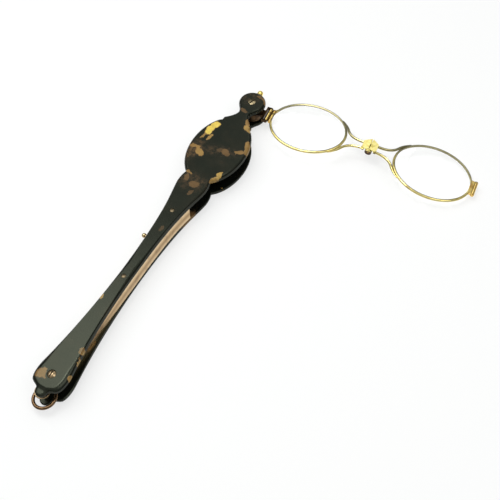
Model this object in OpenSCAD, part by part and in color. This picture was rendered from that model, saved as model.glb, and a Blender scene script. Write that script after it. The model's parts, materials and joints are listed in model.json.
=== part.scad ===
// Folding lorgnette: a pair of lenses on a spring hinge, which swings out of a two-scale handle.
// Millimetres. Origin on the table face under the head pivot, +Y along the handle to its head,
// +X to the side on which the open lenses stand, +Z up through the handle's thickness.

/* [Handle] */
// Pivot axis to the tip of the tail
handle_len = 173.1; // [168:0.1:180]
// Thickness of each of the two scales
scale_t = 2.7; // [2.5:0.05:3.2]
// Gap between the scales, which holds the folded lenses
gap_h = 7; // [6.9:0.05:8]
// Height of the rounded shoulder on a scale's outer face
shoulder_h = 1.5; // [0.8:0.05:1.8]
// Width of the rounded shoulder on the broad parts
shoulder_w = 1.9; // [1:0.05:2.2]
// Width of the rounded shoulder along the shaft
shaft_shoulder = 2.5; // [1:0.05:2.6]
// Width of the rounded shoulder at the flared tail
tail_shoulder = 3.2; // [2:0.1:3.4]
// Chamfer along a scale's inner edge
inner_chamfer = 0.25; // [0.1:0.05:0.4]

/* [Handle outline] */
// Radius of the round head
head_r = 6.5; // [6.2:0.05:6.9]
// Distance of the head's centre beyond the pivot
head_off = 0.5; // [0:0.05:0.8]
// Half width of the neck under the head
neck_w = 2.95; // [2.7:0.05:3.4]
// Distance from the pivot down to the neck
neck_y = 8; // [7.6:0.1:8.4]
// Distance from the pivot down to the collar above the oval
collar_y = 14.1; // [13.7:0.1:14.5]
// Half width of the collar
collar_w = 7.4; // [7:0.05:7.7]
// Distance from the pivot down to the widest part of the oval
oval_y = 32.8; // [32:0.1:34]
// Half width of the oval
oval_w = 13.7; // [13.2:0.1:14.3]
// Reach of the oval's curve towards the head
oval_up = 20.7; // [20.3:0.1:21.3]
// Reach of the oval's curve towards the tail
oval_down = 20.9; // [20.5:0.1:21.4]
// Half width of the waist under the oval
waist_w = 6.35; // [5.9:0.05:6.7]
// Half width of the shoulders where the shaft starts
shaft_top_w = 7.3; // [7:0.05:7.7]
// Half width of the shaft at its thinnest
shaft_w = 3; // [2.75:0.05:3.3]
// Distance from the pivot down to the thinnest part of the shaft
shaft_y = 106; // [100:1:112]
// Half width of the flared tail
tail_w = 7.2; // [6.9:0.05:7.7]
// Radius of the round lobe at the very tip
finial_r = 2.5; // [2.3:0.05:2.7]
// Fall of the finial's top below the scale's flat face
finial_drop = 0.8; // [0.4:0.1:1.1]

/* [Bar between the scales] */
// Distance from the pivot down to the bar's near end
bar_top = 68; // [67:0.5:72]
// How far the bar stands in from the scales' edge
bar_in = 0.15; // [0.05:0.05:0.5]

/* [Screws, rivets and rings] */
// Head radius of the slotted screw at the pivot
head_screw_r = 1.75; // [1.6:0.05:1.9]
// Head radius of the slotted screw at the tail
tail_screw_r = 1.8; // [1.5:0.05:2]
// Radius of the pivot screw's shank
pivot_r = 1.2; // [1:0.05:1.3]
// Radius of the rivets' heads
rivet_head_r = 1.05; // [0.9:0.05:1.2]
// Radius of the rivets' shanks
rivet_r = 0.65; // [0.5:0.05:0.7]
// Distance from the pivot to the first rivet
rivet_1_y = 73.8; // [73:0.2:76]
// Distance from the pivot to the second rivet
rivet_2_y = 112.5; // [110:0.5:120]
// Distance of the tail screw from the tip of the tail
tail_screw_in = 9.8; // [9.6:0.1:10.2]
// Distance of the ring post from the tip of the tail
post_in = 2.9; // [2.7:0.05:3.1]
// Radius of the ring post
post_r = 0.9; // [0.7:0.05:1]
// Radius of the large ring to the middle of its wire
ring_r = 4.65; // [4.5:0.05:4.75]
// Radius of the large ring's wire
ring_wire = 0.72; // [0.5:0.02:0.76]
// Radius of the small ring to the middle of its wire
small_ring_r = 3; // [2.6:0.05:3.2]
// Radius of the small ring's wire
small_wire = 0.3; // [0.2:0.02:0.35]

/* [Lenses and rims] */
// Half length of a rim, to the middle of its wire
lens_a = 18.8; // [18:0.1:19.2]
// Half height of a rim, to the middle of its wire
lens_b = 14.6; // [13:0.1:15]
// Radius of the rim's wire
wire_r = 0.66; // [0.5:0.02:0.66]
// Depth of the groove that holds the lens edge
groove_d = 0.45; // [0.3:0.05:0.5]
// Thickness of a lens above and below its mid plane
lens_half_t = 0.75; // [0.6:0.05:0.85]
// Distance between the middles of the two lenses
lens_spacing = 63; // [62:0.2:64]

/* [Bridge hinge] */
// Reach of the plates' point from the bridge's middle line, on the side away from the coil
plate_peak = 4.6; // [4.2:0.05:4.8]
// Reach of the plates' straight edge from the bridge's middle line, on the coil's side
plate_edge = 2; // [1.95:0.05:2.3]
// Reach of a plate's outer corner on the side of the point
plate_corner = 2.6; // [2.3:0.05:2.8]
// Length of each plate from the fold line
plate_len = 3.5; // [3.2:0.05:3.8]
// Thickness of a plate
plate_t = 0.8; // [0.6:0.05:0.8]
// Depth of the hinge pin's axis below the lenses' mid plane
pin_drop = 1.2; // [1.15:0.01:1.25]
// Radius of the hinge's lugs
lug_r = 1.7; // [1.5:0.05:1.8]
// Radius of the hinge pin
hinge_pin_r = 0.5; // [0.4:0.02:0.55]
// Curls of the bridge spring
spring_curls = 3; // [2:1:3]

/* [Swing arm and end blocks] */
// Radius of the arm's round hub
hub_r = 5.6; // [5:0.1:5.8]
// Height of the hub
hub_h = 4.2; // [3.8:0.1:4.6]
// Radius of the knuckles at the near end of the lenses
knuckle_r = 0.86; // [0.8:0.01:0.92]
// Radius of the barrel at the far end of the lenses
far_barrel_r = 0.98; // [0.85:0.01:1]
// Radius of the ball on the thumb stud
stud_r = 1.4; // [1.2:0.05:1.6]

/* [Catch] */
// Travel of the catch
catch_travel = 2; // [1.6:0.1:2.2]
// Width of the catch bolt
bolt_w = 3; // [2.6:0.05:3.1]
// Radius of the release knob
knob_r = 1.1; // [0.9:0.05:1.3]
// Distance from the pivot to the release knob
knob_y = 88; // [87:0.5:90]

/* [Hidden] */

$fn = 48;
// Running clearance, snug clearance and the overshoot of a cut past a face
run = 0.05;
snug = 0.03;
over = 0.5;

// Heights of the scales' inner and outer faces
back_in = scale_t;
front_in = scale_t + gap_h;
total_t = 2 * scale_t + gap_h;

// Places along the handle, all towards the tail
shoulder_y = 57.6;
tail_y = handle_len - 12.8;
lobe_y = handle_len - finial_r;
tail_screw_y = handle_len - tail_screw_in;
post_y = handle_len - post_in;
bar_end = tail_screw_y + 1.4;

// The open arm's bearing above +X, and the lenses' rise and fall along it
arm_az = 4.5;
near_rise = 2.5;
rest_bend = 8.5;
block_u = 9.8;
block_z = back_in + 3.6;

// Places along the arm from the pivot
near_u = 29.9;
hinge_u = near_u + lens_spacing / 2;
far_u = near_u + lens_spacing;
knuckle_2_u = near_u - lens_a - knuckle_r + 0.5;
knuckle_1_u = knuckle_2_u - 2 * knuckle_r - 0.4;
far_barrel_u = far_u + lens_a + far_barrel_r + 0.85;

// Across the near block: its two ends and the split between upper and lower knuckle
block_low = -3.3;
block_split = 1.75;
block_high = 4.2;
// Across the far block
far_low = -3.2;
far_split = 1.5;
far_high = 4.6;

// The coil's groove across the bridge hinge, and the lugs beside it, near and far half taking turns
groove = [-1.15, 1.85];
far_lugs = [[groove[0] - 0.6, groove[0]], [groove[1], groove[1] + 0.6]];
near_lugs = [[far_lugs[0][0] - 0.8, far_lugs[0][0] - 0.1], [far_lugs[1][1] + 0.1, far_lugs[1][1] + 0.8]];

// Points on a cubic curve from p0 to p3
function lerp(a, b, t) = a + (b - a) * t;
function bez(p0, p1, p2, p3, t) =
    p0 * pow(1 - t, 3) + p1 * 3 * t * pow(1 - t, 2) + p2 * 3 * t * t * (1 - t) + p3 * pow(t, 3);

// A stretch of outline: points with the place on the midline that the shoulder leans towards, the
// shoulder's width, and the fall of the top below the flat face
function stretch(p0, p1, p2, p3, s0, s1, d0, d1, n, f0 = 0, f1 = 0) =
    [for (i = [1:n]) let (t = i / n, p = bez(p0, p1, p2, p3, t))
        [p[0], p[1], lerp(s0, s1, t), lerp(d0, d1, t), lerp(f0, f1, t)]];

// Right half of a scale's outline, from the top of the head to the tip of the tail
neck_a = -38;
head_end = [head_r * cos(neck_a), head_off + head_r * sin(neck_a)];
neck = [neck_w, -neck_y];
collar = [collar_w, -collar_y];
oval_top_a = asin((oval_y - collar_y - 2.8) / oval_up);
oval_end_a = -acos(waist_w / oval_w);
waist = [waist_w, -oval_y + oval_down * sin(oval_end_a)];
shaft_top = [shaft_top_w, -shoulder_y];
shaft = [shaft_w, -shaft_y];
tail = [tail_w - 0.2, -tail_y];
tail_foot = [tail_w - 1.1, -handle_len + 5];
tail_end = [finial_r + 0.9, -handle_len + 3.5];
peak_y = handle_len - 4.9;
lobe_a = -4;
lobe_start = [finial_r * cos(lobe_a), -lobe_y + finial_r * sin(lobe_a)];
ridge = 0.93;

head_pts = [for (i = [0:14]) let (a = lerp(90, neck_a, i / 14))
    [head_r * cos(a), head_off + head_r * sin(a), head_off, shoulder_w, 0]];
neck_pts = concat(
    stretch(head_end, head_end + [-1.05, -1.34], neck + [0, 1.3], neck, head_off, -neck_y, shoulder_w, 1.5, 5),
    stretch(neck, neck - [0, 1.7], collar - [1.8, -1.3], collar, -neck_y, -collar_y - 5, 1.5, shoulder_w, 6),
    [[collar_w + 0.15, -collar_y - 1.9, -collar_y - 8, shoulder_w, 0]]);
oval_pts = [for (i = [0:20]) let (a = lerp(oval_top_a, oval_end_a, i / 20), y = (a > 0 ? oval_up : oval_down) * sin(a))
    [oval_w * cos(a), -oval_y + y, -oval_y + 0.6 * y, shoulder_w, 0]];
shaft_pts = concat(
    stretch(waist, waist + [0.8, -1.1], shaft_top + [0.1, 2], shaft_top, -shoulder_y, -shoulder_y - 1, 1.8, 2.2, 6),
    stretch(shaft_top, shaft_top + [-1.03, -8.7], shaft + [0, 35], shaft, -shoulder_y - 1, -shaft_y,
            2.2, shaft_shoulder, 14),
    stretch(shaft, shaft - [0.08, 31], tail + [-0.95, 5.9], tail, -shaft_y, -tail_y,
            shaft_shoulder, tail_shoulder, 16));
tail_pts = concat(
    stretch(tail, tail + [0.4, -3], tail_foot + [1.1, 1.6], tail_foot, -tail_y, -peak_y + 3,
            tail_shoulder, tail_shoulder, 7),
    stretch(tail_foot, tail_foot - [1, 0.9], tail_end + [0.9, 0.5], tail_end, -peak_y + 3, -peak_y,
            tail_shoulder, ridge * norm(tail_end - [0, -peak_y]), 5),
    stretch(tail_end, tail_end - [0.6, 0.3], lobe_start + [0.3, 0.7], lobe_start, -peak_y, -lobe_y,
            ridge * norm(tail_end - [0, -peak_y]), ridge * finial_r, 4, 0, finial_drop),
    [for (i = [1:8]) let (a = lerp(lobe_a, -90, i / 8))
        [i == 8 ? 0 : finial_r * cos(a), -lobe_y + finial_r * sin(a), -lobe_y, ridge * finial_r, finial_drop]]);
outline = concat(head_pts, neck_pts, oval_pts, shaft_pts, tail_pts);
last = len(outline) - 1;

// The outline's half width at a distance y from the pivot towards the tail
function half_w(y) = lookup(-y, [for (p = outline) [p[1], p[0]]]);

// An outline point drawn in by a share of its shoulder's width, on side s at height z, with a share of its fall
function drawn_in(p, share, s, z, fall) =
    let (to = [-p[0], p[2] - p[1]], far = norm(to), d = min(share * p[3], far * ridge), q = far > 0 ? to / far : [0, 0])
    [s * (p[0] + d * q[0]), p[1] + d * q[1], z - fall * p[4]];

// A closed ring of a scale's edge, left side first
function edge_ring(share, z, fall = 0) = concat(
    [for (p = outline) drawn_in(p, share, -1, z, fall)],
    [for (i = [last - 1:-1:1]) drawn_in(outline[i], share, 1, z, fall)]);

// Faces across a flat ring of n points, in strips between its left and right side
function strips(n) = [for (i = [0:n / 2 - 1]) let (b = i + 1, c = n - i - 1, d = (n - i) % n)
    each concat(b == c ? [] : [[i, b, c]], i == d ? [] : [[i, c, d]])];

// Closes a stack of rings into one solid; each ring runs anticlockwise seen from where the stack goes
module skin(rings) {
    n = len(rings[0]);
    m = len(rings);
    top = (m - 1) * n;
    sides = [for (i = [0:m - 2], j = [0:n - 1]) let (a = i * n + j, b = i * n + (j + 1) % n)
        each [[a, a + n, b + n], [a, b + n, b]]];
    low_end = strips(n);
    high_end = [for (f = low_end) [top + f[2], top + f[1], top + f[0]]];
    polyhedron(points = [for (r = rings) each r], faces = concat(sides, low_end, high_end));
}

// A scale lying on its inner face: chamfered edge, upright wall, rounded shoulder and flat outer face
shoulder_a = 74;
module scale_blank() {
    arc = [for (i = [0:5]) shoulder_a * i / 5];
    skin(concat(
        [edge_ring(inner_chamfer / shoulder_w, 0), edge_ring(0, inner_chamfer)],
        [for (a = arc) let (up = sin(a) / sin(shoulder_a))
            edge_ring(1 - cos(a), scale_t - shoulder_h * (1 - up), up)]));
}

// A drilled hole down the handle's thickness
module hole(y, r, z0, z1, x = 0) {
    translate([x, -y, z0])
        cylinder(r = r, h = z1 - z0);
}

screw_sink = 0.55;
rivet_sink = 0.35;
nut_r = 2.2;
nut_t = 1.5;
thread_r = 0.9;
tail_shank_r = 1;
post_end = 0.8;

module front_scale() {
    color("#2a211a")
        difference() {
            translate([0, 0, front_in])
                scale_blank();
            hole(0, head_screw_r + 0.08, total_t - screw_sink, total_t + over);
            hole(0, pivot_r + run, front_in - over, total_t);
            hole(tail_screw_y, tail_screw_r + 0.08, total_t - screw_sink, total_t + over);
            hole(tail_screw_y, tail_shank_r + run, front_in - over, total_t);
            for (y = [rivet_1_y, rivet_2_y]) {
                hole(y, rivet_head_r + run, total_t - rivet_sink, total_t + over);
                hole(y, rivet_r + snug, front_in - over, total_t);
            }
            hole(post_y, post_r + snug, front_in - over, front_in + post_end);
        }
}

module back_scale() {
    color("#241c16")
        difference() {
            translate([0, 0, back_in])
                mirror([0, 0, 1])
                    scale_blank();
            for (y = [0, tail_screw_y])
                hole(y, nut_r + snug, back_in - nut_t - snug, back_in + over);
            for (y = [rivet_1_y, rivet_2_y]) {
                hole(y, rivet_head_r + run, -over, rivet_sink);
                hole(y, rivet_r + snug, -over, back_in + over);
            }
            hole(post_y, post_r + snug, back_in - post_end, back_in + over);
        }
}

// The catch's place in the bar
bolt_floor = back_in + 2.3;
bolt_top = front_in - 0.2;
bolt_end = knob_y + 5;
spring_end = bolt_end + 8;
stem_z = back_in + 3.5;
stem_r = 0.4;

module spacer_bar() {
    steps = 10;
    side = [for (i = [0:steps]) let (y = lerp(bar_top, shaft_y, i / steps)) [half_w(y) - bar_in, -y]];
    edge = concat(side, [[shaft_w - bar_in, -bar_end]]);
    channel_w = bolt_w + 2 * run;
    color("#cdbb8e")
        difference() {
            translate([0, 0, back_in])
                linear_extrude(gap_h)
                    polygon(concat(edge, [for (i = [len(edge) - 1:-1:0]) [-edge[i][0], edge[i][1]]]));
            translate([-channel_w / 2, -spring_end - 0.2, bolt_floor])
                cube([channel_w, spring_end - bar_top + over, front_in]);
            translate([-2 * bar_top, -knob_y - catch_travel - stem_r - 0.2, stem_z - stem_r - 0.1])
                cube([2 * bar_top, catch_travel + 2 * stem_r + 0.4, front_in]);
            for (y = [rivet_1_y, rivet_2_y])
                hole(y, rivet_r + snug, 0, total_t);
            hole(tail_screw_y, tail_shank_r + run, 0, total_t);
        }
}

// A slotted screw, its domed head seated in the front scale and its thread in a nut in the back scale
module slotted_screw(y, r, shank_r, dome, slot_a) {
    slot_w = 0.5;
    slot_d = 0.4;
    seat = total_t - screw_sink;
    ball = (r * r + dome * dome) / (2 * dome);
    translate([0, -y, 0])
        difference() {
            union() {
                intersection() {
                    translate([0, 0, seat])
                        cylinder(r = r, h = screw_sink + dome);
                    translate([0, 0, total_t + dome - ball])
                        sphere(r = ball);
                }
                translate([0, 0, back_in + run])
                    cylinder(r = shank_r, h = seat + 0.2 - back_in - run);
                translate([0, 0, back_in - nut_t + 0.2])
                    cylinder(r = thread_r, h = nut_t);
            }
            translate([0, 0, total_t + dome])
                rotate([0, 0, slot_a])
                    cube([2 * r + 1, slot_w, 2 * slot_d], center = true);
        }
}

module head_screw() {
    color("#b9a67a")
        slotted_screw(0, head_screw_r, pivot_r, 0.25, 69);
}

module tail_screw() {
    color("#c9b07a")
        slotted_screw(tail_screw_y, tail_screw_r, tail_shank_r, 0.6, 89);
}

// Two round brass nuts let into the back scale's inner face
module scale_nuts() {
    color("#a98d55")
        for (y = [0, tail_screw_y])
            difference() {
                hole(y, nut_r, back_in - nut_t, back_in);
                hole(y, thread_r + snug, 0, total_t);
            }
}

// Two rivets through both scales and the bar, with low domed heads
module rivets() {
    dome = 0.2;
    ball = (rivet_head_r * rivet_head_r + dome * dome) / (2 * dome);
    color("#b08c50")
        for (y = [rivet_1_y, rivet_2_y])
            translate([0, -y, 0]) {
                translate([0, 0, run])
                    cylinder(r = rivet_r, h = total_t - run);
                translate([0, 0, run])
                    cylinder(r = rivet_head_r, h = rivet_sink - run);
                intersection() {
                    translate([0, 0, total_t - rivet_sink])
                        cylinder(r = rivet_head_r, h = rivet_sink + dome);
                    translate([0, 0, total_t + dome - ball])
                        sphere(r = ball);
                }
            }
}

module ring_post() {
    color("#9c7b4a")
        hole(post_y, post_r, back_in - post_end + run, front_in + post_end - run);
}

// The large ring lies round the post, tipped up on the side of the lenses
ring_tip = 8;
ring_off = [0, -0.6];
ring_z = back_in + 0.2 + ring_wire + ring_r * sin(ring_tip);
module large_ring() {
    color("#b98a62")
        translate([ring_off[0], -post_y + ring_off[1], ring_z])
            rotate([0, -ring_tip, 0])
                rotate_extrude($fn = 72)
                    translate([ring_r, 0])
                        circle(r = ring_wire);
}

small_off = [-1.4, 0.7];
small_z = ring_z + ring_r * sin(ring_tip) + ring_wire + small_wire + 0.4;
module small_ring() {
    color("#c2a06a")
        translate([small_off[0], -post_y + small_off[1], small_z])
            rotate_extrude($fn = 72)
                translate([small_ring_r, 0])
                    circle(r = small_wire);
}

// The pivot: a flanged bush on the screw, a washer above the hub, and the arm on the bush
bush_r = 2;
flange_r = 3.2;
flange_top = back_in + 1.5;
hub_low = flange_top + run;
hub_top = hub_low + hub_h;
spring_in = bush_r + 0.55;
spring_out = hub_r - 1.1;

module pivot_bush() {
    color("#8f7344")
        difference() {
            union() {
                hole(0, flange_r, back_in + run, flange_top);
                hole(0, bush_r, back_in + run, front_in - run);
            }
            hole(0, pivot_r + run, 0, total_t);
        }
}

module hub_washer() {
    color("#b0935c")
        difference() {
            hole(0, flange_r, hub_top + run, front_in - snug);
            hole(0, bush_r + run, 0, total_t);
        }
}

// Places on the open arm: u along it from the pivot, v across it towards the head
module on_arm() {
    rotate([0, 0, arm_az])
        children();
}

// The near lens's plane, and the far lens's plane bent about the hinge pin
module near_plane() {
    on_arm()
        translate([block_u, 0, block_z])
            rotate([0, -near_rise, 0])
                translate([-block_u, 0, 0])
                    children();
}
module far_plane() {
    near_plane()
        translate([hinge_u, 0, -pin_drop])
            rotate([0, rest_bend, 0])
                translate([-hinge_u, 0, pin_drop])
                    children();
}

// A round bar across the arm, from v0 to v1
module across(u, w, r, v0, v1) {
    translate([u, v1, w])
        rotate([90, 0, 0])
            cylinder(r = r, h = v1 - v0);
}

yoke_low = block_low - 0.1;
yoke_high = block_high + 0.1;
ear_t = 0.5;
ear_r = 0.98;
pin_r = 0.42;
stud_az = 93.5;
stud_neck_r = 0.55;
stud_z = block_z - 0.1;
stud_reach = head_off + head_r + 5;
stud_root = hub_r - 0.9;

module swing_arm() {
    web_u = knuckle_1_u - knuckle_r - 0.35;
    color("#7d5a34")
        difference() {
            union() {
                hole(0, hub_r, hub_low, hub_top);
                near_plane() {
                    translate([hub_r - 0.9, -1.6, -0.9])
                        cube([web_u - hub_r + 0.9, 3.8, 1.8]);
                    translate([web_u - 0.8, yoke_low - ear_t, -0.9])
                        cube([0.8, yoke_high - yoke_low + 2 * ear_t, 1.8]);
                    for (v = [yoke_low - ear_t, yoke_high]) {
                        translate([web_u - 0.8, v, -0.9])
                            cube([knuckle_1_u - web_u + 0.8, ear_t, 1.8]);
                        across(knuckle_1_u, 0, ear_r, v, v + ear_t);
                    }
                }
            }
            hole(0, bush_r + run, 0, total_t);
            difference() {
                hole(0, spring_out, hub_low + 0.8, total_t);
                hole(0, spring_in, 0, total_t);
            }
            near_plane()
                across(knuckle_1_u, 0, pin_r + snug, yoke_low - 2, yoke_high + 2);
            rotate([0, 0, arm_az + stud_az])
                translate([stud_root, 0, stud_z])
                    rotate([0, 90, 0])
                        cylinder(r = stud_neck_r + snug, h = hub_r);
        }
}

// The thumb stud: a ball on a flared cup and a neck, driven into the hub's rim
module thumb_stud() {
    neck_len = stud_reach - stud_root - run;
    cup_at = neck_len - stud_r - 0.9;
    cup_rise = 0.9;
    cup_rim = 0.35;
    color("#e0b93c")
        rotate([0, 0, arm_az + stud_az])
            translate([stud_root + run, 0, stud_z])
                rotate([0, 90, 0]) {
                    cylinder(r = stud_neck_r, h = neck_len);
                    translate([0, 0, cup_at])
                        cylinder(r1 = stud_neck_r + 0.2, r2 = stud_r + 0.25, h = cup_rise);
                    translate([0, 0, cup_at + cup_rise])
                        cylinder(r = stud_r + 0.25, h = cup_rim);
                    translate([0, 0, neck_len])
                        sphere(r = stud_r);
                }
}

// A coil of round wire about +Z: rings of six points round a helix
coil_sides = 6;
function helix(r, pitch, curls, per) = [for (i = [0:curls * per]) [r * cos(360 * i / per), r * sin(360 * i / per), pitch * i / per]];
module coil(r, wire, pitch, curls, per) {
    skin([for (i = [0:curls * per]) let (a = 360 * i / per, c = helix(r, pitch, curls, per)[i])
        [for (j = [0:coil_sides - 1]) let (b = 360 * j / coil_sides)
            c + wire * (sin(b) * [cos(a), sin(a), 0] + cos(b) * [0, 0, 1])]]);
}

// Least gap of a coil's wire to itself, between points at least half a curl apart
function self_gap(r, wire, pitch, curls, per) =
    let (p = helix(r, pitch, curls, per))
    min([for (i = [0:len(p) - 1], j = [i + per / 2:1:len(p) - 1]) norm(p[i] - p[j])]) - 2 * wire;

swing_coil_r = (spring_in + spring_out) / 2;
swing_wire = 0.25;
swing_pitch = 0.95;
module swing_spring() {
    color("#8c8a80")
        translate([0, 0, hub_low + 0.8 + swing_wire + 0.1])
            coil(swing_coil_r, swing_wire, swing_pitch, 3, 16);
}

module yoke_pin() {
    color("#6b4e2c")
        near_plane()
            across(knuckle_1_u, 0, pin_r, yoke_low - ear_t, yoke_high + ear_t);
}

// A point on a rim's middle line at angle t, moved out by n, and the rim's outward direction there
function rim_out(t) = let (d = [lens_b * cos(t), lens_a * sin(t)]) d / norm(d);
function rim_at(c, t, n) = let (o = rim_out(t)) [c + lens_a * cos(t) + n * o[0], lens_b * sin(t) + n * o[1]];

// The lens's edge: how far in from the rim's middle line its tip lies, and half the thickness behind the bevel
bevel_in = 0.08;
tip = wire_r - groove_d + bevel_in;
edge_t = 0.3;

// The slot that the lens's edge needs in the block beside it
module lens_slot(c) {
    translate([0, 0, -edge_t - snug])
        linear_extrude(2 * (edge_t + snug))
            polygon([for (i = [0:63]) rim_at(c, 360 * i / 64, snug - tip)]);
}

// The near block: two figure-eight knuckles, the upper with a wing that takes the rim's wire
wing_u = 0.9;
wing_v = block_high + 1.2;
web_half = 0.3;
module wing(grow) {
    translate([0, 0, -web_half - grow])
        linear_extrude(2 * (web_half + grow))
            polygon([[knuckle_2_u, block_split + 0.5 - grow], [knuckle_2_u + 0.9 + grow, block_split + 0.5 - grow],
                     [knuckle_2_u + wing_u + 0.8 + grow, wing_v - 0.7], [knuckle_2_u + wing_u, wing_v + grow],
                     [knuckle_2_u, block_high]]);
}
module near_knuckle(v0, v1, winged) {
    screw_hole = pin_r + snug;
    near_plane()
        difference() {
            union() {
                across(knuckle_1_u, 0, knuckle_r, v0, v1);
                across(knuckle_2_u, 0, knuckle_r, v0, v1);
                translate([knuckle_1_u, v0, -web_half])
                    cube([knuckle_2_u - knuckle_1_u, v1 - v0, 2 * web_half]);
                if (winged)
                    wing(0);
            }
            across(knuckle_1_u, 0, screw_hole, v0 - over, v1 + 3);
            across(knuckle_2_u, 0, screw_hole, v0 - over, v1 + 3);
            lens_slot(near_u);
        }
}

module near_upper_knuckle() {
    color("#d6b45a")
        near_knuckle(block_split + run, block_high, true);
}

module near_lower_knuckle() {
    color("#d6b45a")
        near_knuckle(block_low, block_split - run, false);
}

// A closing screw through a barrel, with a low slotted head at its lower end
module closing_screw(u, v0, v1) {
    head_t = 0.35;
    difference() {
        union() {
            across(u, 0, pin_r, v0 - run - 0.1, v1 - 0.2);
            across(u, 0, 0.75, v0 - head_t - run, v0 - run);
        }
        translate([u, v0 - head_t - run, 0])
            cube([2, 0.3, 0.3], center = true);
    }
}

module near_closing_screw() {
    color("#b8923f")
        near_plane()
            closing_screw(knuckle_2_u, block_low, block_high);
}

// The rim's section: a round back, and a groove on the lens side
rim_section = concat(
    [for (i = [0:8]) let (b = 180 * i / 8) wire_r * [sin(b), cos(b)]],
    [[-0.8, -0.75] * wire_r, [-wire_r + groove_d, 0], [-0.8, 0.75] * wire_r]);
function rim_ring(c, t) = [for (q = rim_section) let (p = rim_at(c, t, q[0])) [p[0], p[1], q[1]]];

module rim_wire(c, t0, t1) {
    steps = 60;
    skin([for (i = [0:steps]) rim_ring(c, lerp(t0, t1, i / steps))]);
}

rim_gap = 14;
module near_rim() {
    color("#bfa35c")
        near_plane()
            difference() {
                rim_wire(near_u, -180 + rim_gap - 2, 180 - rim_gap);
                across(knuckle_2_u, 0, knuckle_r + snug, block_low - 1, block_high + 1);
                wing(snug);
            }
}

// A biconvex lens with a bevelled edge that lies in the rim's groove
module lens(c) {
    shelf = tip + 0.5;
    n = 64;
    function oval(k, z) = [for (i = [0:n - 1]) let (t = 360 * i / n, p = rim_at(0, t, -shelf)) [c + k * p[0], k * p[1], z]];
    function dome(k) = edge_t + (lens_half_t - edge_t) * (1 - k * k);
    tip_ring = [for (i = [0:n - 1]) let (p = rim_at(c, 360 * i / n, -tip)) [p[0], p[1], 0]];
    skin(concat([for (k = [0.25, 0.5, 0.75, 1]) oval(k, -dome(k))], [tip_ring], [for (k = [1, 0.75, 0.5, 0.25]) oval(k, dome(k))]));
}

module near_lens() {
    color("#dfe8e6", 0.35)
        near_plane()
            lens(near_u);
}

// Bridge arms: wires that leave a hinge plate side by side and run out along the rim, tapering away
arm_wire = 0.66;
arm_join = 23;
arm_leave = 44;
arm_v = 1.85;
function arm_radius(t) = arm_wire * (1 - 0.75 * max(0, t - arm_join) / (arm_leave - arm_join));
function beside_rim(t) = rim_at(0, t, wire_r + arm_radius(t) + snug);
join_dir = [-lens_a * sin(arm_join), lens_b * cos(arm_join)];
arm_path = concat(
    [for (i = [0:11]) bez([lens_spacing / 2 - plate_len - snug, arm_v], [lens_spacing / 2 - plate_len - 5.5, arm_v],
        beside_rim(arm_join) - 3 * join_dir / norm(join_dir), beside_rim(arm_join), i / 12)],
    [for (i = [0:6]) beside_rim(lerp(arm_join, arm_leave, i / 6))]);
function arm_r_at(i) = i < 12 ? arm_wire : arm_radius(lerp(arm_join, arm_leave, (i - 12) / 6));
function heading(i) = let (d = arm_path[min(i + 1, 18)] - arm_path[max(i - 1, 0)]) i == 0 ? [-1, 0] : d / norm(d);

// One arm on a rim centred at c; side is 1 above the bridge or -1 below it, s is 1 near or -1 far
module bridge_arm(c, s, side) {
    rings = [for (i = [0:18]) let (h = heading(i), p = arm_path[i], r = arm_r_at(i))
        [for (j = [0:9]) let (b = 36 * j) [p[0] + r * sin(b) * h[1], p[1] - r * sin(b) * h[0], r * cos(b)]]];
    translate([c, 0, 0])
        mirror([s > 0 ? 0 : 1, 0, 0])
            mirror([0, side > 0 ? 0 : 1, 0])
                skin(rings);
}
module bridge_arms(c, s) {
    for (side = [-1, 1])
        bridge_arm(c, s, side);
}

module near_bridge_arms() {
    color("#bfa35c")
        near_plane()
            bridge_arms(near_u, 1);
}

// Half of the bridge hinge: a plate that rises to a point, the shelf that holds the arms, and its lugs
shelf_v = arm_v + 0.55;
plate_low = 0.05;
fold_gap = 0.05;
module hinge_half(s, own, others) {
    difference() {
        union() {
            translate([0, 0, plate_low])
                linear_extrude(plate_t)
                    polygon([[s * fold_gap, -plate_edge], [s * fold_gap, plate_peak],
                             [s * plate_len, plate_corner], [s * plate_len, 0.4 - plate_edge],
                             [s * (plate_len - 0.5), -plate_edge]]);
            translate([s > 0 ? plate_len - 1.2 : -plate_len, -shelf_v, -arm_wire])
                cube([1.2, 2 * shelf_v, arm_wire + plate_low]);
            for (g = own)
                across(0, -pin_drop, lug_r, g[0], g[1]);
        }
        for (g = others)
            across(0, -pin_drop, lug_r + 0.1, g[0] - 0.1, g[1] + 0.1);
        across(0, -pin_drop, hinge_pin_r + run, -2 * plate_peak, 2 * plate_peak);
    }
}

module near_hinge_plate() {
    color("#d9c174")
        near_plane()
            translate([hinge_u, 0, 0])
                hinge_half(-1, near_lugs, far_lugs);
}

module far_hinge_plate() {
    color("#d9c174")
        far_plane()
            translate([hinge_u, 0, 0])
                hinge_half(1, far_lugs, near_lugs);
}

module hinge_pin() {
    color("#8a7340")
        near_plane()
            across(hinge_u, -pin_drop, hinge_pin_r, near_lugs[0][0] + 0.1, near_lugs[1][1] - 0.1);
}

bridge_wire = 0.17;
bridge_coil_r = 0.92;
bridge_pitch = (groove[1] - groove[0] - 2 * bridge_wire - 0.06) / spring_curls;
module bridge_spring() {
    color("#857a66")
        near_plane()
            translate([hinge_u, groove[1] - bridge_wire - 0.03, -pin_drop])
                rotate([90, 0, 0])
                    coil(bridge_coil_r, bridge_wire, bridge_pitch, spring_curls, 8);
}

module far_bridge_arms() {
    color("#bfa35c")
        far_plane()
            bridge_arms(far_u, -1);
}

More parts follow.
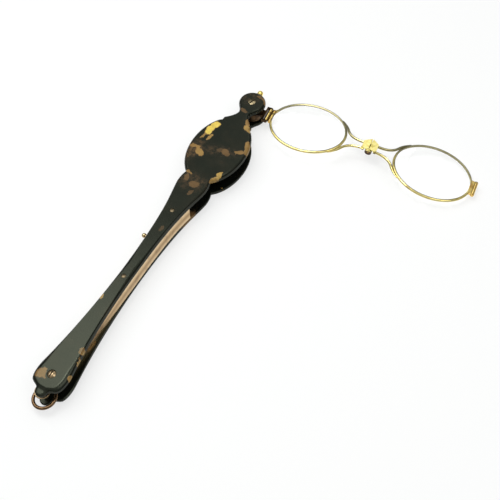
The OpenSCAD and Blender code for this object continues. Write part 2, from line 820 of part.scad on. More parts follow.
// The far block: a split barrel just outside the rim, each half with a foot on the rim's wire
foot_half = 0.55;
module far_feet(v0, v1, grow) {
    translate([far_u + lens_a - 0.6 - grow, v0 - grow, -foot_half - grow])
        cube([far_barrel_u - far_u - lens_a + 0.6 + grow, v1 - v0 + 2 * grow, 2 * (foot_half + grow)]);
}
module far_knuckle(v0, v1, foot0, foot1) {
    far_plane()
        difference() {
            union() {
                across(far_barrel_u, 0, far_barrel_r, v0, v1);
                far_feet(foot0, foot1, 0);
            }
            across(far_barrel_u, 0, pin_r + snug, v0 - over, v1 + over);
            lens_slot(far_u);
        }
}
upper_foot = [far_split + run, far_high];
lower_foot = [far_low, far_split - run];

module far_upper_knuckle() {
    color("#d6b45a")
        far_knuckle(far_split + run, far_high, upper_foot[0], upper_foot[1]);
}

module far_lower_knuckle() {
    color("#d6b45a")
        far_knuckle(far_low, far_split - run, lower_foot[0], lower_foot[1]);
}

module far_rim() {
    color("#bfa35c")
        far_plane()
            difference() {
                rim_wire(far_u, rim_gap - 2, 360 - rim_gap / 2);
                across(far_barrel_u, 0, far_barrel_r + snug, far_low - 1, far_high + 1);
                far_feet(upper_foot[0], upper_foot[1], snug);
                far_feet(lower_foot[0], lower_foot[1], snug);
            }
}

module far_lens() {
    color("#dfe8e6", 0.35)
        far_plane()
            lens(far_u);
}

module far_closing_screw() {
    color("#b8923f")
        far_plane()
            closing_screw(far_barrel_u, far_low, far_high);
}

// The catch: a bolt in the bar's channel whose tongue drops into the folded hinge's groove
tongue_tip = hinge_u + bridge_coil_r + bridge_wire + 0.15;
tongue_x = (groove[0] + groove[1]) / 2;
tongue_half = (groove[1] - groove[0]) / 2 - 0.4;
tongue_z = block_z + (hinge_u - block_u) * sin(near_rise) - pin_drop;
module catch_bolt() {
    slot_r = rivet_r + 0.15;
    color("#a88b55")
        difference() {
            union() {
                translate([-bolt_w / 2, -bolt_end, bolt_floor + run])
                    cube([bolt_w, bolt_end - bar_top, bolt_top - bolt_floor - run]);
                translate([tongue_x - tongue_half, -bar_top - 1, tongue_z - 0.6])
                    cube([2 * tongue_half, bar_top + 1 - tongue_tip, 1.2]);
            }
            translate([0, catch_travel / 2, 0])
                for (d = [-1, 1])
                    hole(rivet_1_y - d * (catch_travel / 2 + 0.1), slot_r, 0, total_t);
            translate([-slot_r, -rivet_1_y - 0.1, 0])
                cube([2 * slot_r, catch_travel + 0.2, total_t]);
            translate([0, -knob_y, stem_z])
                rotate([0, -90, 0])
                    cylinder(r = stem_r + snug, h = bolt_w);
        }
}

// The knob stands clear of the scales' edge on a stem that runs through the bar's side
knob_x = half_w(knob_y) + knob_r + 1.9;
module release_knob() {
    color("#dcb347")
        translate([0, -knob_y, stem_z])
            rotate([0, -90, 0]) {
                translate([0, 0, snug])
                    cylinder(r = stem_r, h = knob_x);
                translate([0, 0, knob_x - knob_r - 0.1])
                    cylinder(r = 0.7, h = 0.5);
                translate([0, 0, knob_x])
                    sphere(r = knob_r);
            }
}

catch_wire = 0.2;
catch_coil_r = bolt_w / 2 - catch_wire - 0.1;
catch_pitch = (spring_end - bolt_end - 2 * catch_wire - 0.3) / 8;
module catch_spring() {
    color("#8c8a80")
        translate([0, -bolt_end - catch_wire - 0.15, (bolt_floor + bolt_top) / 2])
            rotate([90, 0, 0])
                coil(catch_coil_r, catch_wire, catch_pitch, 8, 8);
}

echo(bridge_spring_gap = self_gap(bridge_coil_r, bridge_wire, bridge_pitch, spring_curls, 8),
     swing_spring_gap = self_gap(swing_coil_r, swing_wire, swing_pitch, 3, 16),
     catch_spring_gap = self_gap(catch_coil_r, catch_wire, catch_pitch, 8, 8));

front_scale();
back_scale();
spacer_bar();
head_screw();
tail_screw();
scale_nuts();
rivets();
ring_post();
large_ring();
small_ring();
hub_washer();
pivot_bush();
swing_arm();
swing_spring();
thumb_stud();
yoke_pin();
near_upper_knuckle();
near_lower_knuckle();
near_closing_screw();
near_rim();
near_lens();
near_bridge_arms();
near_hinge_plate();
hinge_pin();
bridge_spring();
far_hinge_plate();
far_bridge_arms();
far_rim();
far_lens();
far_upper_knuckle();
far_lower_knuckle();
far_closing_screw();
catch_bolt();
release_knob();
catch_spring();
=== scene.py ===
import json
import math

import bmesh
import bpy
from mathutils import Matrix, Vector


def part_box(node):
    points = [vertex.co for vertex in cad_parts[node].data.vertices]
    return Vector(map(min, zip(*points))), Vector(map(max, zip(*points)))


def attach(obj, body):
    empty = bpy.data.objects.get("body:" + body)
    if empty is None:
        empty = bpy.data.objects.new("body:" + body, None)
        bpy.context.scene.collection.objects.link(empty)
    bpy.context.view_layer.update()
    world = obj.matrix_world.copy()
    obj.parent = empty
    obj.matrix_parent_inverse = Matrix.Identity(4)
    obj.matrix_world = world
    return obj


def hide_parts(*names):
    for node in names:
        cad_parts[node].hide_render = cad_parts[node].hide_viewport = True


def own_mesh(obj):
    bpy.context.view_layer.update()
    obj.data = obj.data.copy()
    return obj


MM = 0.001

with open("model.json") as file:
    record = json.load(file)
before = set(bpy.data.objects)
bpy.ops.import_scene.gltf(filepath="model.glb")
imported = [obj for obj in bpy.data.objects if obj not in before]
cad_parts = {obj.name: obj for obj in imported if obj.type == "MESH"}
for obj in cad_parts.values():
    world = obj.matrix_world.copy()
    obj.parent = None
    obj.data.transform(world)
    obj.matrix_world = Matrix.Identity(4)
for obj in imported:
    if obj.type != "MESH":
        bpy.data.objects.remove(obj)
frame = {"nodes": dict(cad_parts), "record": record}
bpy.context.view_layer.update()

BODY_OF = {node: body for body, held in frame["record"]["behaviour"]["bodies"].items() for node in held}

# Points of a CAD mesh closer than this are one point
MERGE = 0.002
# Neighbouring faces within this angle, in degrees, are one flat face
FLAT = 0.4

# Numbers of a colour Mix node's two inputs and of its result
MIX_A = 6
MIX_B = 7
MIX_RESULT = 2

# An oval on the shell is seen in plan: x, y, half length, half width, turn in degrees, and its clearness.
# Amber windows in the front scale, the yellow one first
FRONT_WINDOWS = [
    (-8.2, -21.4, 2.7, 2.0, 62, 1.0),
    (-9.0, -25.0, 3.6, 2.0, 88, 1.0),
    (-6.9, -29.4, 2.6, 0.8, 84, 0.76),
    (-9.9, -29.4, 2.5, 0.6, 80, 0.74),
    (-11.2, -37.2, 1.8, 1.3, 24, 0.68),
    (-8.6, -37.3, 1.8, 1.1, -30, 0.7),
    (-6.2, -39.4, 2.6, 1.7, -30, 0.74),
    (4.4, -33.8, 2.5, 1.8, -20, 0.52),
    (1.7, -33.7, 1.9, 1.3, 10, 0.4),
    (12.1, -26.6, 4.2, 1.6, 112, 0.7),
    (10.3, -30.8, 2.5, 1.3, 28, 0.64),
    (8.6, -46.8, 2.2, 1.1, 84, 0.84),
    (7.4, -50.0, 2.3, 1.0, 66, 0.76),
    (-4.9, -51.7, 2.2, 0.8, -18, 0.66),
    (-4.0, -54.8, 2.2, 1.2, 112, 0.5),
    (1.2, -56.8, 2.7, 1.8, 18, 0.5),
    (2.1, -61.6, 1.9, 0.8, 66, 0.44),
    (4.5, -12.9, 2.4, 1.1, 116, 0.66),
    (6.6, -16.2, 2.6, 1.3, 148, 0.78),
    (-0.8, -6.8, 2.4, 1.0, -16, 0.46),
    (2.4, 4.5, 1.9, 0.8, -4, 0.5),
    (5.2, 3.0, 2.1, 0.8, -48, 0.62),
    (1.0, -84.4, 2.0, 0.7, 84, 0.38),
    (-2.7, -125.0, 1.7, 1.0, 100, 0.78),
    (-3.9, -164.7, 2.8, 1.9, 60, 0.62),
    (-2.2, -164.4, 2.6, 2.2, 10, 0.6),
    (6.4, -143.4, 4.4, 0.9, 92, 0.78),
    (6.2, -151.6, 3.9, 1.1, 92, 0.8),
    (4.6, -149.6, 1.7, 1.2, 80, 0.6),
    (7.3, -161.2, 1.2, 0.8, 85, 0.72),
]
# Dark islands inside those windows. The last one is a black ring round the tail screw: painted shade in
# the gap round its head.
FRONT_ISLANDS = [
    (-8.4, -31.2, 1.6, 0.8, 84, 1.0),
    (5.8, -151.3, 0.9, 0.6, 64, 0.9),
    (5.2, -146.3, 1.5, 0.5, 100, 0.6),
    (0.0, -163.3, 2.3, 2.3, 0, 1.0),
]
# Places where the front scale is brown, not black: the oval's left, its middle, the waist and the head
FRONT_HAZE = [
    (-10.2, -39.5, 8.5, 4.5, 76, 0.44),
    (0.5, -34.6, 12.5, 3.4, 19, 0.3),
    (-1.0, -55.5, 9.0, 6.0, 0, 0.34),
    (-2.0, 2.0, 5.5, 5.0, 0, 0.3),
]
# Windows of the back scale that show beside and under the front one
BACK_WINDOWS = [
    (5.6, -70.0, 6.5, 2.4, 98, 0.6),
    (9.4, -46.6, 0.6, 0.5, 0, 0.8),
    (-4.0, -104.0, 7.0, 3.0, 84, 0.66),
    (5.5, -28.0, 6.0, 3.0, 70, 0.7),
    (-8.0, -36.0, 5.0, 2.6, 30, 0.8),
    (1.0, -142.0, 6.0, 2.4, 98, 0.7),
]
# Shell from the densest to the clearest: black, brown, amber and yellow
SHELL_TONES = [
    (0.0, "#0e110d"),
    (0.16, "#1a1812"),
    (0.3, "#33281d"),
    (0.44, "#54402b"),
    (0.56, "#715535"),
    (0.7, "#8f6f40"),
    (0.82, "#a5854b"),
    (1.0, "#dcc05a"),
]

# Painted shade on the metal, in slots and gaps and on arcs out of the light, seen in plan: x, y, half
# length, half width and turn in degrees
HEAD_SLOT = (0, 0, 3.0, 0.3, 69)
TAIL_SLOT = (0, -163.3, 3.0, 0.3, 89)
# Painted shade between the near block's two barrels, and between its two halves
BETWEEN_BARRELS = (9.65, 0.76, 6.0, 0.32, 94.5)
BETWEEN_HALVES = (9.43, 2.5, 2.4, 0.22, 4.5)
# The arcs of both rims that lie away from the handle's tail, where painted shade greys the gilt
SHADED_ARCS = (60, 19, 90, 13, 4.5)
# Tones of painted shade: in the screw slots, and between the block's barrels and halves
SLOT_SHADE = "#2a241a"
BLOCK_SHADE = "#33261a"

# The bar's tones from its lower edge to its upper one: a brown stain along its middle, and pale bands at
# its edges that are painted highlight lines. Each tone multiplies the gilt
BAR_STAIN_AND_HIGHLIGHT = [
    (0.0, "#ffffff"),
    (0.16, "#fff6ea"),
    (0.3, "#d6c7b2"),
    (0.5, "#b4a48d"),
    (0.62, "#d2c2ab"),
    (0.82, "#f4e9da"),
    (1.0, "#ffffff"),
]
# Spacing of the file's lines across the bar. The real ones are finer: these are wide enough to show.
FILE_LINES = 0.5
# Heights between which the painted shade on the hinge's lugs, under the plates, gives way to the plates'
# own gilt
LUG_SHADE_TOP = (8.1, 8.5)

# Half of the side of the table top
FLOOR_REACH = 2500
# Share of the table's white that is its own, so that the rest takes the soft shadow
FLOOR_GLOW = 0.66
# The studio round the object, from the horizon to straight above: dark low down, pale overhead
SURROUND = [(0.0, "#262726"), (0.3, "#474948"), (0.65, "#b9bcbb"), (1.0, "#dcdedd")]

# The photograph's view looks 57.6 degrees down, from the right of the handle's tail
EYE = (129.3, -237.1, 303.0)
AIM = (36.65, -68.6, 0)
# This focal length on this sensor is 800 pixels in a frame 500 pixels wide
FOCAL = 57.58
SENSOR = 36


def srgb(code):
    """An sRGB hex colour as the linear colour that a shader socket takes."""
    parts = [int(code[i : i + 2], 16) / 255 for i in (1, 3, 5)]
    return tuple(c / 12.92 if c <= 0.04045 else ((c + 0.055) / 1.055) ** 2.4 for c in parts) + (1.0,)


def per_metre(size):
    """The scale of a pattern whose features are this many millimetres across."""
    return 1 / (size * MM)


def add(tree, kind, inputs=None, stops=(), **settings):
    """Adds a shader node with its settings, its inputs as values or links, and a colour ramp's stops."""
    node = tree.nodes.new("ShaderNode" + kind)
    for name, value in settings.items():
        setattr(node, name, value)
    for name, value in (inputs or {}).items():
        if isinstance(value, bpy.types.NodeSocket):
            tree.links.new(value, node.inputs[name])
        else:
            node.inputs[name].default_value = value
    if stops:
        bands = node.color_ramp.elements
        while len(bands) < len(stops):
            bands.new(0.5)
        for band, (position, code) in zip(bands, stops):
            band.position = position
            band.color = srgb(code)
    return node


def started(name):
    """A new material with its Object coordinates."""
    made = bpy.data.materials.new(name)
    made.use_nodes = True
    add(made.node_tree, "TexCoord")
    return made


def opened(made):
    """A material's tree, its Principled shader and its Object coordinates."""
    tree = made.node_tree
    return tree, tree.nodes["Principled BSDF"], tree.nodes["Texture Coordinate"].outputs["Object"]


def spot(tree, place, x, y, long, wide, turn, peak, soft):
    """A soft-edged oval seen in plan, which rises to its peak inside and falls to nothing outside."""
    oval = {
        "Vector": place,
        "Location": (x * MM, y * MM, 0),
        "Rotation": (0, 0, math.radians(turn)),
        "Scale": (long * MM, wide * MM, 1),
    }
    local = add(tree, "Mapping", oval, vector_type="TEXTURE")
    reach = add(tree, "VectorMath", {0: local.outputs[0]}, operation="LENGTH")
    fall = {
        "Value": reach.outputs["Value"],
        "From Min": 1 + soft,
        "From Max": 1 - soft,
        "To Min": 0,
        "To Max": peak,
    }
    return add(tree, "MapRange", fall, interpolation_type="SMOOTHSTEP").outputs["Result"]


def torn_place(tree, place):
    """Object coordinates pushed about at two scales, so that the windows' edges are ragged."""
    for size, reach in ((2.6, 2.4), (0.8, 1.0)):
        waves = {"Vector": place, "Scale": per_metre(size), "Detail": 3, "Roughness": 0.6}
        colour = add(tree, "TexNoise", waves).outputs["Color"]
        centre = {0: colour, 1: (0.5, 0.5, 0.5)}
        push = add(tree, "VectorMath", centre, operation="SUBTRACT").outputs[0]
        shift = add(tree, "VectorMath", {0: push, "Scale": reach * MM}, operation="SCALE").outputs[0]
        place = add(tree, "VectorMath", {0: place, 1: shift}, operation="ADD").outputs[0]
    return place


def with_spots(tree, place, window, ovals, soft, operation):
    """The map of clear shell with more ovals in it, joined by a Math operation."""
    for oval in ovals:
        seen = spot(tree, place, *oval, soft)
        window = add(tree, "Math", {0: window, 1: seen}, operation=operation, use_clamp=True).outputs[0]
    return window


def shell_finish(made, window):
    """Colour and polish of a tortoiseshell plate, from the map of where its shell is clear."""
    tree, shader, place = opened(made)
    tone = add(tree, "ValToRGB", {"Fac": window}, SHELL_TONES).outputs["Color"]
    # Clear shell is seldom one tone: clouds of brown, about 2 mm across, pass through it
    billows = {"Vector": place, "Scale": per_metre(1.9), "Detail": 4, "Roughness": 0.6}
    cloud = add(tree, "TexNoise", billows).outputs["Fac"]
    depth = {"Value": cloud, "From Min": 0.3, "From Max": 0.7, "To Min": 0.78, "To Max": 1.12}
    shade = add(tree, "MapRange", depth).outputs["Result"]
    toned = add(tree, "VectorMath", {0: tone, "Scale": shade}, operation="SCALE").outputs[0]
    tree.links.new(toned, shader.inputs["Base Color"])
    # The polish is rubbed unevenly, in patches of about 7 mm
    patches = {"Vector": place, "Scale": per_metre(7), "Detail": 5, "Roughness": 0.65}
    rub = add(tree, "TexNoise", patches).outputs["Fac"]
    gloss = add(tree, "MapRange", {"Value": rub, "To Min": 0.19, "To Max": 0.3}).outputs["Result"]
    # The edges are only scraped, and duller than the polished faces
    facing = tree.nodes["Texture Coordinate"].outputs["Normal"]
    up = add(tree, "SeparateXYZ", {"Vector": facing}).outputs["Z"]
    steep = add(tree, "Math", {0: up}, operation="ABSOLUTE").outputs[0]
    scrape = {"Value": steep, "From Min": 0.2, "From Max": 0.6, "To Min": 0.6, "To Max": 0}
    scraped = add(tree, "MapRange", scrape).outputs["Result"]
    rough = add(tree, "Math", {0: gloss, 1: scraped}, operation="MAXIMUM").outputs[0]
    tree.links.new(rough, shader.inputs["Roughness"])
    # Hand polishing leaves a faint waviness, and hair scratches along the handle
    along = add(tree, "Mapping", {"Vector": place, "Scale": (1, 0.06, 1)}).outputs[0]
    hair = add(tree, "TexNoise", {"Vector": along, "Scale": per_metre(0.25), "Detail": 2}).outputs["Fac"]
    wavy = add(tree, "Bump", {"Height": rub, "Strength": 0.1, "Distance": 0.3 * MM}).outputs[0]
    scratch = {"Height": hair, "Strength": 0.06, "Distance": 0.05 * MM, "Normal": wavy}
    tree.links.new(add(tree, "Bump", scratch).outputs[0], shader.inputs["Normal"])
    # Keratin bends light a little more than plastic does. Its old surface gives a weak, greenish sheen.
    shader.inputs["IOR"].default_value = 1.55
    shader.inputs["Specular IOR Level"].default_value = 0.28
    shader.inputs["Specular Tint"].default_value = srgb("#f6ffdf")
    return made


def front_tortoiseshell():
    """Tortoiseshell plate, sawn, scraped and polished: near black, with amber windows through it."""
    made = started("tortoiseshell_front")
    tree, _, place = opened(made)
    torn = torn_place(tree, place)
    # Faint brown clouds of about 11 mm lie all over the plate
    drifts = {"Vector": place, "Scale": per_metre(11), "Detail": 4, "Roughness": 0.6}
    clouds = add(tree, "TexNoise", drifts).outputs["Fac"]
    brown = {"Value": clouds, "From Min": 0.5, "From Max": 0.75, "To Min": 0, "To Max": 0.26}
    window = add(tree, "MapRange", brown).outputs["Result"]
    # The haze is mottled, in specks of about 2 mm
    specks = {"Vector": place, "Scale": per_metre(1.7), "Detail": 5, "Roughness": 0.65}
    mottle = add(tree, "TexNoise", specks).outputs["Fac"]
    thin = {"Value": mottle, "From Min": 0.36, "From Max": 0.62, "To Min": 0.35, "To Max": 1.15}
    share = add(tree, "MapRange", thin).outputs["Result"]
    for zone in FRONT_HAZE:
        veil = spot(tree, torn, *zone, soft=0.6)
        seen = add(tree, "Math", {0: veil, 1: share}, operation="MULTIPLY").outputs[0]
        window = add(tree, "Math", {0: window, 1: seen}, operation="MAXIMUM").outputs[0]
    window = with_spots(tree, torn, window, FRONT_WINDOWS, 0.16, "MAXIMUM")
    window = with_spots(tree, torn, window, FRONT_ISLANDS, 0.25, "SUBTRACT")
    return shell_finish(made, window)


def back_tortoiseshell():
    """The same shell for the back plate: darker, with blots of brown drawn out along the handle."""
    made = started("tortoiseshell_back")
    tree, _, place = opened(made)
    torn = torn_place(tree, place)
    drawn = add(tree, "Mapping", {"Vector": place, "Scale": (1, 0.7, 0.2)}).outputs[0]
    blot = {"Vector": drawn, "Scale": per_metre(15), "Detail": 5, "Roughness": 0.55, "Distortion": 0.6}
    blots = add(tree, "TexNoise", blot).outputs["Fac"]
    clear = {"Value": blots, "From Min": 0.62, "From Max": 0.7, "To Min": 0, "To Max": 0.6}
    window = add(tree, "MapRange", clear, interpolation_type="SMOOTHSTEP").outputs["Result"]
    window = with_spots(tree, torn, window, BACK_WINDOWS, 0.3, "MAXIMUM")
    return shell_finish(made, window)


def metal(name, bright, dull, roughness, patches=2.5, cover=0.5):
    """A polished metal with a worn film: bright metal shows through a duller tone, in patches.

    The patches are in millimetres. The more the film covers, the less of the bright tone is left.
    """
    made = started(name)
    tree, shader, place = opened(made)
    film = {"Vector": place, "Scale": per_metre(patches), "Detail": 5, "Roughness": 0.6}
    left = {"Value": add(tree, "TexNoise", film).outputs["Fac"], "From Min": 0.32, "From Max": 0.68}
    worn = add(tree, "MapRange", left).outputs["Result"]
    tones = [(0.0, dull), (cover, bright), (1.0, bright)]
    tone = add(tree, "ValToRGB", {"Fac": worn}, tones).outputs["Color"]
    tree.links.new(tone, shader.inputs["Base Color"])
    # The polishing grit is drawn at 0.35 mm, coarser than the real one, so that it shows
    grit = add(tree, "TexNoise", {"Vector": place, "Scale": per_metre(0.35), "Detail": 3}).outputs["Fac"]
    polish = {"Value": grit, "To Min": roughness * 0.8, "To Max": roughness * 1.25}
    tree.links.new(add(tree, "MapRange", polish).outputs["Result"], shader.inputs["Roughness"])
    marks = add(tree, "Bump", {"Height": grit, "Strength": 0.08, "Distance": 0.04 * MM})
    tree.links.new(marks.outputs[0], shader.inputs["Normal"])
    shader.inputs["Metallic"].default_value = 1
    return made


def with_painted_shade(made, where, shade):
    """A metal with another tone inside a soft oval: painted shade, in a slot, a gap or an arc out of the
    light.
    """
    tree, shader, place = opened(made)
    seen = spot(tree, place, *where, peak=1, soft=0.25)
    unshaded = shader.inputs["Base Color"].links[0].from_socket
    mixed = add(tree, "Mix", {0: seen, MIX_A: unshaded, MIX_B: srgb(shade)}, data_type="RGBA")
    tree.links.new(mixed.outputs[MIX_RESULT], shader.inputs["Base Color"])
    return made


def filed_gilt():
    """Rolled brass, filed across and gilt: a pale tan with fine cross lines, stained along its middle, its
    edges painted paler as highlight lines.
    """
    made = metal("bar_gilt_filed", bright="#e6cfa8", dull="#bda37b", roughness=0.34, patches=4.0)
    tree, shader, place = opened(made)
    low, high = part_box("spacer_bar")
    height = add(tree, "SeparateXYZ", {"Vector": place}).outputs["Z"]
    side = {"Value": height, "From Min": low[2], "From Max": high[2]}
    level = add(tree, "MapRange", side).outputs["Result"]
    # A brown stain darkens the middle, and the pale bands at the edges are painted highlight lines
    stain_and_highlight = add(tree, "ValToRGB", {"Fac": level}, BAR_STAIN_AND_HIGHLIGHT).outputs["Color"]
    gilt = shader.inputs["Base Color"].links[0].from_socket
    stain_and_highlight_inputs = {0: 1.0, MIX_A: gilt, MIX_B: stain_and_highlight}
    stained_and_highlit = add(tree, "Mix", stain_and_highlight_inputs, data_type="RGBA", blend_type="MULTIPLY")
    tree.links.new(stained_and_highlit.outputs[MIX_RESULT], shader.inputs["Base Color"])
    # A wave texture of scale s has a line every pi / (10 s)
    lines = {
        "Vector": place,
        "Scale": math.pi / (10 * FILE_LINES * MM),
        "Distortion": 1.2,
        "Detail": 2,
        "Detail Scale": 2.0,
    }
    filed = add(tree, "TexWave", lines, wave_type="BANDS", bands_direction="Y").outputs["Fac"]
    marks = shader.inputs["Normal"].links[0].from_socket
    cut = add(tree, "Bump", {"Height": filed, "Strength": 0.35, "Distance": 0.05 * MM, "Normal": marks})
    tree.links.new(cut.outputs[0], shader.inputs["Normal"])
    return made


def shaded_lug_plate():
    """Gilt brass plate, satin from fine emery: a broad pale shine. The lugs below the plate are painted
    dark brown: painted shade under the plate.
    """
    made = metal("plate_gilt", bright="#f2e494", dull="#cdba66", roughness=0.3, patches=2.0)
    tree, shader, place = opened(made)
    low, high = LUG_SHADE_TOP
    height = add(tree, "SeparateXYZ", {"Vector": place}).outputs["Z"]
    above = {"Value": height, "From Min": low * MM, "From Max": high * MM}
    unshaded = add(tree, "MapRange", above).outputs["Result"]
    gilt = shader.inputs["Base Color"].links[0].from_socket
    # The lugs below are painted dark brown: painted shade under the plates
    lug_shade = add(tree, "Mix", {0: unshaded, MIX_A: srgb("#54463a"), MIX_B: gilt}, data_type="RGBA")
    tree.links.new(lug_shade.outputs[MIX_RESULT], shader.inputs["Base Color"])
    return made


def crown_glass():
    """Crown glass, ground and polished: clear, with a faint haze from wiping, and hardly a shadow."""
    made = started("crown_glass")
    tree, shader, place = opened(made)
    shader.inputs["Base Color"].default_value = srgb("#ffffff")
    shader.inputs["Transmission Weight"].default_value = 1
    shader.inputs["IOR"].default_value = 1.52
    smear = add(tree, "TexNoise", {"Vector": place, "Scale": per_metre(6), "Detail": 3}).outputs["Fac"]
    haze = add(tree, "MapRange", {"Value": smear, "To Min": 0.0, "To Max": 0.02}).outputs["Result"]
    tree.links.new(haze, shader.inputs["Roughness"])
    through = add(tree, "BsdfTransparent", {"Color": srgb("#f7f9f8")}).outputs[0]
    shadow = add(tree, "LightPath").outputs["Is Shadow Ray"]
    passed = add(tree, "MixShader", {0: shadow, 1: shader.outputs[0], 2: through})
    tree.links.new(passed.outputs[0], tree.nodes["Material Output"].inputs["Surface"])
    return made


def finished(node, material, rounding=0.0, crease=28):
    """Stands a finished copy of a CAD node in its place: merged, its sharp edges rounded, shaded smooth.

    The rounding is in millimetres. Edges that bend by more than the crease, in degrees, are sharp.
    """
    mesh = bmesh.new()
    mesh.from_mesh(frame["nodes"][node].data)
    bmesh.ops.remove_doubles(mesh, verts=mesh.verts, dist=MERGE * MM)
    bmesh.ops.dissolve_limit(
        mesh,
        angle_limit=math.radians(FLAT),
        verts=mesh.verts,
        edges=mesh.edges,
        use_dissolve_boundaries=False,
    )
    limit = math.radians(crease)
    if rounding:
        sharp = [e for e in mesh.edges if len(e.link_faces) == 2 and e.calc_face_angle(0) > limit]
        bmesh.ops.bevel(
            mesh,
            geom=sharp,
            offset=rounding * MM,
            offset_type="OFFSET",
            segments=2,
            profile=0.5,
            affect="EDGES",
            clamp_overlap=True,
            material=-1,
        )
    for face in mesh.faces:
        face.smooth = True
    for edge in mesh.edges:
        edge.smooth = not (len(edge.link_faces) == 2 and edge.calc_face_angle(0) > limit)
    made = bpy.data.meshes.new(node)
    mesh.to_mesh(made)
    mesh.free()
    piece = bpy.data.objects.new("fine_" + node, made)
    bpy.context.scene.collection.objects.link(piece)
    made.materials.append(material)
    weighted = piece.modifiers.new("Weighted normals", "WEIGHTED_NORMAL")
    weighted.keep_sharp = True
    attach(piece, BODY_OF[node])
    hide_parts(node)
    return piece


def scales():
    """The two tortoiseshell plates of the handle, with barely softened edges."""
    finished("front_scale", front_tortoiseshell(), rounding=0.04)
    finished("back_scale", back_tortoiseshell(), rounding=0.04)


def bar():
    """The gilt bar between the plates, its long edges worn round."""
    finished("spacer_bar", filed_gilt(), rounding=0.25)


def screws():
    """The slotted screws of the head and the tail."""
    # Gilt brass, turned and polished, the gilding rubbed thin: a greyish gold, with painted shade nearly
    # black in the slot
    pale = metal("screw_gilt", bright="#a99a79", dull="#716449", roughness=0.26)
    finished("head_screw", with_painted_shade(pale, HEAD_SLOT, SLOT_SHADE))
    # The same on the domed tail screw, which the hand wears more: warmer, with a smaller light
    domed = metal("tail_screw_gilt", bright="#a69070", dull="#63523a", roughness=0.24)
    finished("tail_screw", with_painted_shade(domed, TAIL_SLOT, SLOT_SHADE))


def rivets_and_posts():
    """The brass fittings between the plates."""
    # Brass, hammered flush and filed with the shell: dull brown discs that hardly shine
    brass = metal("rivet_brass", bright="#655a46", dull="#3f372a", roughness=0.36)
    for node in ("rivets", "scale_nuts", "ring_post", "hub_washer"):
        finished(node, brass, rounding=0.04)


def rings():
    """The two rings at the tail."""
    # Rose gilt wire, drawn and soldered, darkened by the ribbon: brown copper with a thin bright line
    rose = metal("rose_gilt", bright="#745b42", dull="#3d2f21", roughness=0.24)
    finished("large_ring", rose)
    # Thin gilt wire, drawn and less worn: paler than the large ring
    pale = metal("pale_gilt_ring", bright="#a8916e", dull="#6a573d", roughness=0.26)
    finished("small_ring", pale)


def swing_arm():
    """The arm's hub and yoke, its stud and the coil inside it."""
    # Bronze, cast and filed, then darkened by oil: a deep brown with a soft light on the hub
    bronze = metal("dark_bronze", bright="#5a442c", dull="#20170c", roughness=0.34, patches=3.0, cover=0.8)
    finished("swing_arm", bronze, rounding=0.08)
    finished("pivot_bush", bronze, rounding=0.05)
    finished("yoke_pin", bronze, rounding=0.04)
    # Gilt brass, turned and kept bright by the thumb: the cleanest gold of all
    bright = metal("bright_gilt", bright="#ffe27c", dull="#e8bd55", roughness=0.2)
    finished("thumb_stud", bright, rounding=0.05)
    # Spring steel, drawn and tempered: plain grey with narrow lights
    steel = metal("spring_steel", bright="#8e8b84", dull="#4d4a45", roughness=0.3)
    finished("swing_spring", steel)


def blocks():
    """The split block at the near rim and the split barrel at the far one, with their closing screws."""
    # Gilt brass, milled and polished: a warm yellow gold on the barrels
    gilt = metal("block_gilt", bright="#f6d684", dull="#c89c50", roughness=0.22)
    # Painted shade darkens the gap between the near block's two barrels, and where its two halves meet
    gilt = with_painted_shade(gilt, BETWEEN_BARRELS, BLOCK_SHADE)
    gilt = with_painted_shade(gilt, BETWEEN_HALVES, BLOCK_SHADE)
    for node in ("near_upper_knuckle", "near_lower_knuckle", "far_upper_knuckle", "far_lower_knuckle"):
        finished(node, gilt, rounding=0.08)
    for node in ("near_closing_screw", "far_closing_screw"):
        finished(node, gilt, rounding=0.04)


def rims():
    """The two rims and the arms that join them to the bridge."""
    # Gilt wire, drawn with a groove and bent round the lenses: a pale greenish gold with long soft lights
    wire = metal("rim_gilt", bright="#e2d28e", dull="#b3a265", roughness=0.24, patches=6.0)
    # The arcs away from the handle's tail are painted a greyer tone: painted shade where they reflect the
    # dark studio behind
    wire = with_painted_shade(wire, SHADED_ARCS, "#9a9370")
    for node in ("near_rim", "far_rim", "near_bridge_arms", "far_bridge_arms"):
        finished(node, wire)


def bridge_hinge():
    """The two plates of the bridge, their pin and their coil."""
    plate = shaded_lug_plate()
    finished("near_hinge_plate", plate, rounding=0.12)
    finished("far_hinge_plate", plate, rounding=0.12)
    # Gilt brass, turned: the pin's end is a dull gold
    pin = metal("pin_gilt", bright="#b39150", dull="#6e5631", roughness=0.3)
    finished("hinge_pin", pin, rounding=0.04)
    # Spring steel, drawn and once gilt: brown with dull lights on its turns
    coil = metal("bridge_spring_steel", bright="#5f523e", dull="#3a3024", roughness=0.34)
    finished("bridge_spring", coil)


def lenses():
    """The two lenses. Their bevelled edges stay smooth where they curve round."""
    glass = crown_glass()
    finished("near_lens", glass, crease=35)
    finished("far_lens", glass, crease=35)


def catch():
    """The bolt in the bar, its knob on the handle's left edge, and its spring."""
    # Gilt brass, filed flat and rubbed by sliding: a dull gold
    bolt = metal("bolt_gilt", bright="#b79a5f", dull="#735b33", roughness=0.34)
    finished("catch_bolt", bolt, rounding=0.1)
    # Gilt brass, turned, its gilding browned by handling: a small light on a tan ball
    knob = metal("knob_gilt", bright="#c4ad82", dull="#7d6844", roughness=0.22)
    finished("release_knob", knob, rounding=0.05)
    # Spring steel, drawn and tempered, as in the hub
    steel = metal("catch_spring_steel", bright="#8e8b84", dull="#4d4a45", roughness=0.3)
    spring = finished("catch_spring", steel)
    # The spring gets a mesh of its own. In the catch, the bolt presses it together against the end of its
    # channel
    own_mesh(spring)


def seen_by(tree, kinds):
    """1 for the named kinds of ray, and 0 for the others."""
    rays = add(tree, "LightPath")
    seen = 0.0
    for kind in kinds:
        seen = add(tree, "Math", {0: seen, 1: rays.outputs[kind]}, operation="MAXIMUM").outputs[0]
    return seen


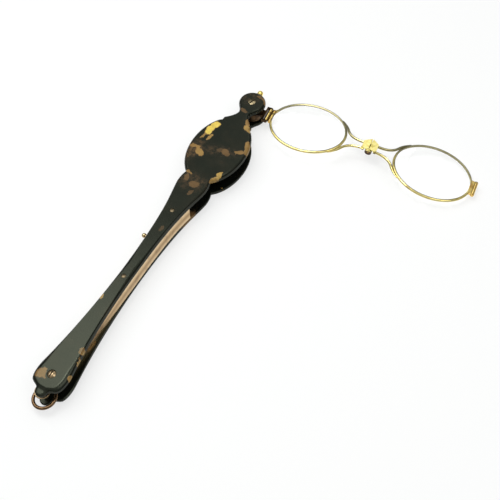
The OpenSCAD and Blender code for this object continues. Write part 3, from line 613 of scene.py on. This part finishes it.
def floor():
    """A matt painted table top, plain white, that keeps the soft shadow."""
    mesh = bmesh.new()
    bmesh.ops.create_grid(mesh, x_segments=1, y_segments=1, size=FLOOR_REACH * MM)
    made = bpy.data.meshes.new("floor")
    mesh.to_mesh(made)
    mesh.free()
    top = bpy.data.objects.new("floor", made)
    bpy.context.scene.collection.objects.link(top)
    paint = started("floor_white")
    tree, shader, _ = opened(paint)
    shader.inputs["Base Color"].default_value = srgb("#f2f3f2")
    shader.inputs["Roughness"].default_value = 0.9
    shader.inputs["Specular IOR Level"].default_value = 0.1
    shown = seen_by(tree, ("Is Camera Ray", "Is Transmission Ray", "Is Glossy Ray"))
    share = add(tree, "Math", {0: shown, 1: FLOOR_GLOW}, operation="MULTIPLY").outputs[0]
    white = add(tree, "Emission", {"Color": srgb("#ffffff"), "Strength": 1.0}).outputs[0]
    mixed = add(tree, "MixShader", {0: share, 1: shader.outputs[0], 2: white})
    tree.links.new(mixed.outputs[0], tree.nodes["Material Output"].inputs["Surface"])
    made.materials.append(paint)


def soft_box(name, place, aim, side, watts):
    """A square soft box at a place, turned to an aim. Its side is in millimetres too."""
    lamp = bpy.data.lights.new(name, "AREA")
    lamp.shape = "SQUARE"
    lamp.size = side * MM
    lamp.energy = watts
    box = bpy.data.objects.new(name, lamp)
    box.location = Vector(place) * MM
    box.rotation_euler = (Vector(aim) * MM - box.location).to_track_quat("-Z", "Y").to_euler()
    bpy.context.scene.collection.objects.link(box)


def lights():
    """A large soft box over the tail's left, and small ones behind, on the right and over the crest."""
    soft_box("soft_box", place=(-270, -100, 600), aim=(10, -100, 0), side=500, watts=2.3)
    soft_box("back_box", place=(-60, 500, 600), aim=(63, 5, 10), side=250, watts=0.28)
    soft_box("right_box", place=(330, -60, 560), aim=(20, -70, 0), side=300, watts=0.6)
    soft_box("crest_box", place=(-75, -10, 600), aim=(0, -130, 0), side=140, watts=0.55)


def surround():
    """The studio that the metals reflect. The camera and the lenses see plain white instead."""
    world = bpy.data.worlds.new("surround")
    world.use_nodes = True
    tree = world.node_tree
    sky = add(tree, "TexCoord").outputs["Generated"]
    height = add(tree, "SeparateXYZ", {"Vector": sky}).outputs["Z"]
    tone = add(tree, "ValToRGB", {"Fac": height}, SURROUND).outputs["Color"]
    direct = seen_by(tree, ("Is Camera Ray", "Is Transmission Ray"))
    shown = add(tree, "Mix", {0: direct, MIX_A: tone, MIX_B: srgb("#ffffff")}, data_type="RGBA")
    tree.links.new(shown.outputs[MIX_RESULT], tree.nodes["Background"].inputs["Color"])
    tree.nodes["Background"].inputs["Strength"].default_value = 1.0
    bpy.context.scene.world = world


def camera():
    """The photograph's view."""
    eye = Vector(EYE) * MM
    aim = Vector(AIM) * MM
    lens = bpy.data.cameras.new("view")
    lens.sensor_width = SENSOR
    lens.lens = FOCAL
    lens.clip_start = 0.01
    shot = bpy.data.objects.new("view", lens)
    shot.location = eye
    shot.rotation_euler = (aim - eye).to_track_quat("-Z", "Y").to_euler()
    bpy.context.scene.collection.objects.link(shot)
    bpy.context.scene.camera = shot


scales()
bar()
screws()
rivets_and_posts()
rings()
swing_arm()
blocks()
rims()
bridge_hinge()
lenses()
catch()
floor()
lights()
surround()
camera()
bpy.context.scene.view_settings.view_transform = "Standard"

bpy.context.view_layer.update()
